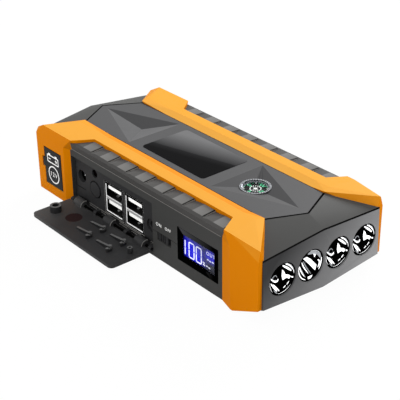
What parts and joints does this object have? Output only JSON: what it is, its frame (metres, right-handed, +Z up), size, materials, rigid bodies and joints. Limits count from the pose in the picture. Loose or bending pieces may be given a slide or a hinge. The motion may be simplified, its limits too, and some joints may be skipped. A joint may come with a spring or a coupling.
{
  "type": "jump starter pack",
  "caption": "Portable jump starter pack: dark faceted housing in orange corner frames, with a drop-down port door, a display, a compass, round lamps and a covered start socket.",
  "frame": {"origin": "middle of the flat underside, at the height of the surface it rests on", "axes": "+X along the length towards the lamps, +Y across, away from the port side, +Z up, out of the top face"},
  "size_m": [0.1762, 0.0986, 0.0392],
  "materials": {
    "shell_plastic": "fine-textured dark grey moulding",
    "frame_plastic": "smooth orange moulding",
    "panel_plastic": "darker grey moulding",
    "label_gloss": "glossy black plate",
    "soft_plug": "soft black rubber",
    "steel": "plain steel",
    "plated_shell": "bright plated sheet metal",
    "white_plastic": "white moulding",
    "black_plastic": "black moulding",
    "pilot_red": "dark red lamp window, unlit",
    "clear": "clear sheet",
    "screen": "backlit blue display",
    "compass_metal": "satin metal ring",
    "compass_dial": "dark dial with plain marks",
    "reflector": "bright reflector",
    "emitter": "yellow emitter chip",
    "board": "green circuit board",
    "socket_blue": "blue socket moulding",
    "contact": "plated contact",
    "cell_pouch": "silver pouch"
  },
  "bodies": {
    "housing": {"lower_shell": "shell_plastic", "upper_shell": "shell_plastic", "top_panel": "shell_plastic", "front_end_cap": "shell_plastic", "rear_end_cap": "shell_plastic", "near_grip": "shell_plastic", "far_grip": "shell_plastic", "near_frame": "frame_plastic", "far_frame": "frame_plastic", "port_panel": "panel_plastic", "label_plate": "label_gloss", "cell_straps": "soft_plug", "door_hinge_pin": "steel", "cover_hinge_pin": "steel", "case_screws": "steel", "compass_pivot": "steel", "usb_shells": "plated_shell", "usb_tongues": "white_plastic", "dc_input_jack": "black_plastic", "output_jack": "black_plastic", "button_switch": "black_plastic", "lcd_bezel": "black_plastic", "switch_body": "black_plastic", "start_relay": "black_plastic", "board_parts": "black_plastic", "battery_tray": "black_plastic", "pilot_lamp": "pilot_red", "lcd_window": "clear", "compass_lens": "clear", "led_lenses": "clear", "lcd_module": "screen", "compass_housing": "compass_metal", "led_reflectors": "reflector", "led_emitters": "emitter", "led_board": "board", "main_board": "board", "start_socket": "socket_blue", "start_contacts": "contact", "bus_bars": "contact", "battery_cells": "cell_pouch"},
    "door": {"port_door": "panel_plastic", "door_pads": "soft_plug", "door_button_pad": "soft_plug"},
    "socket_flap": {"start_cover": "black_plastic"},
    "button": {"power_button": "panel_plastic"},
    "switch": {"switch_knob": "black_plastic"},
    "card": {"compass_card": "compass_dial"}
  },
  "joints": [
    {"name": "door_hinge", "type": "hinge", "parent": "housing", "child": "door", "pos_m": [-0.0212, -0.0364, 0.0039], "axis": [-1, 0, 0], "range_deg": [0, 90]},
    {"name": "socket_flap_hinge", "type": "hinge", "parent": "housing", "child": "socket_flap", "pos_m": [-0.0618, -0.037, 0.0158], "axis": [0, 0, 1], "range_deg": [0, 100]},
    {"name": "power_button_press", "type": "slide", "parent": "housing", "child": "button", "axis": [0, 1, 0], "range_m": [0, 0.0008], "stiffness_N_per_m": 1500},
    {"name": "switch_slide", "type": "slide", "parent": "housing", "child": "switch", "axis": [1, 0, 0], "range_m": [0, 0.002]},
    {"name": "compass_turn", "type": "hinge", "parent": "housing", "child": "card", "pos_m": [0.0438, 0, 0.0346], "axis": [0, 0, 1], "continuous": true}
  ]
}
